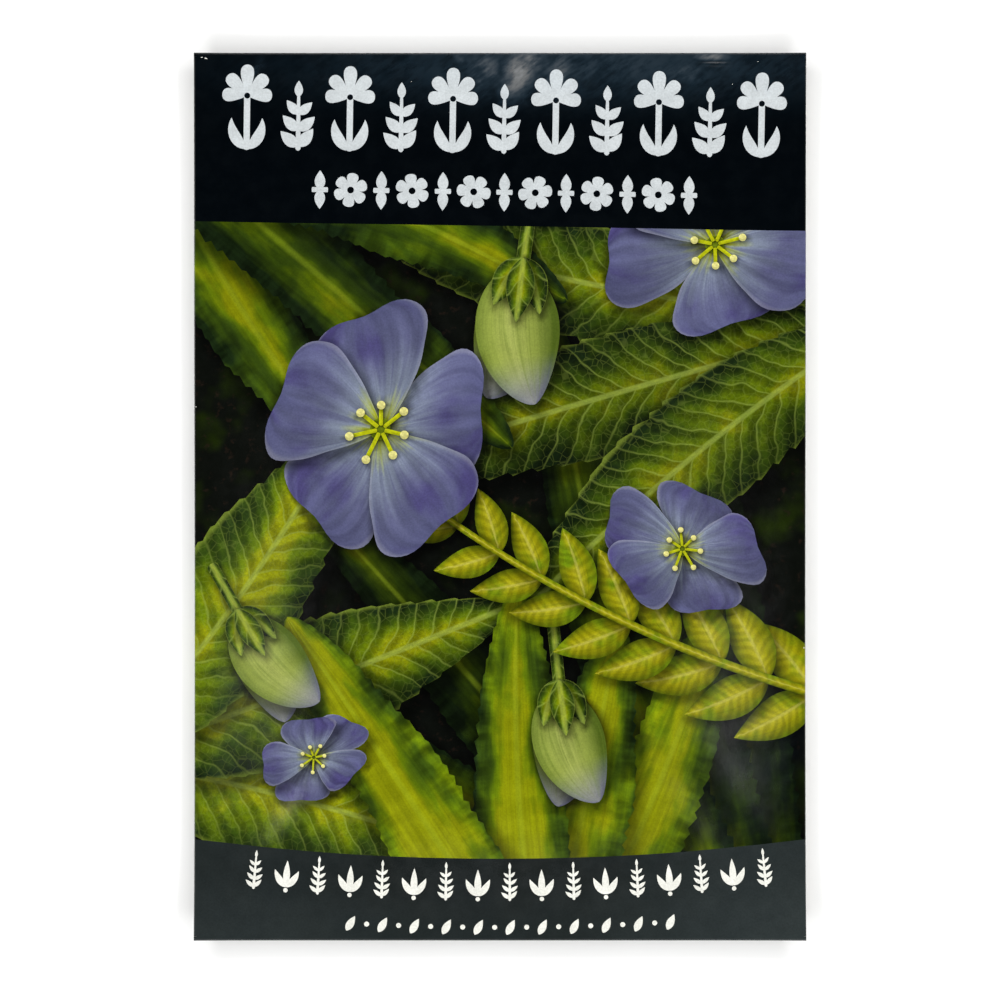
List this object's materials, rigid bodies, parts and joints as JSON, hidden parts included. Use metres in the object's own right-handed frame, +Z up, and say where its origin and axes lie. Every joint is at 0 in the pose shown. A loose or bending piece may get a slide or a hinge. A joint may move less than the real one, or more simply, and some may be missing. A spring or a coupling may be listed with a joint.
{
  "type": "seed packet",
  "caption": "Sealed flat packet folded from one sheet of glossy printed paper, glued at its side, foot and head, that holds loose bean seeds for sowing.",
  "frame": {"origin": "on the table, under the middle of the packet's outline", "axes": "+Z up, out of the printed front; +Y towards the packet's head; +X to the reader's right"},
  "size_m": [0.0824, 0.1196, 0.0076],
  "materials": {
    "printed_paper": "gloss",
    "dry_glue": "satin",
    "seed_coat": "satin"
  },
  "bodies": {
    "root": {"paper_sheet": "printed_paper", "side_seam_glue": "dry_glue", "bottom_flap_glue": "dry_glue", "top_flap_glue": "dry_glue", "seed_01": "seed_coat", "seed_02": "seed_coat", "seed_03": "seed_coat", "seed_04": "seed_coat", "seed_05": "seed_coat", "seed_06": "seed_coat", "seed_07": "seed_coat", "seed_08": "seed_coat", "seed_09": "seed_coat", "seed_10": "seed_coat", "seed_11": "seed_coat", "seed_12": "seed_coat"}
  },
  "joints": []
}
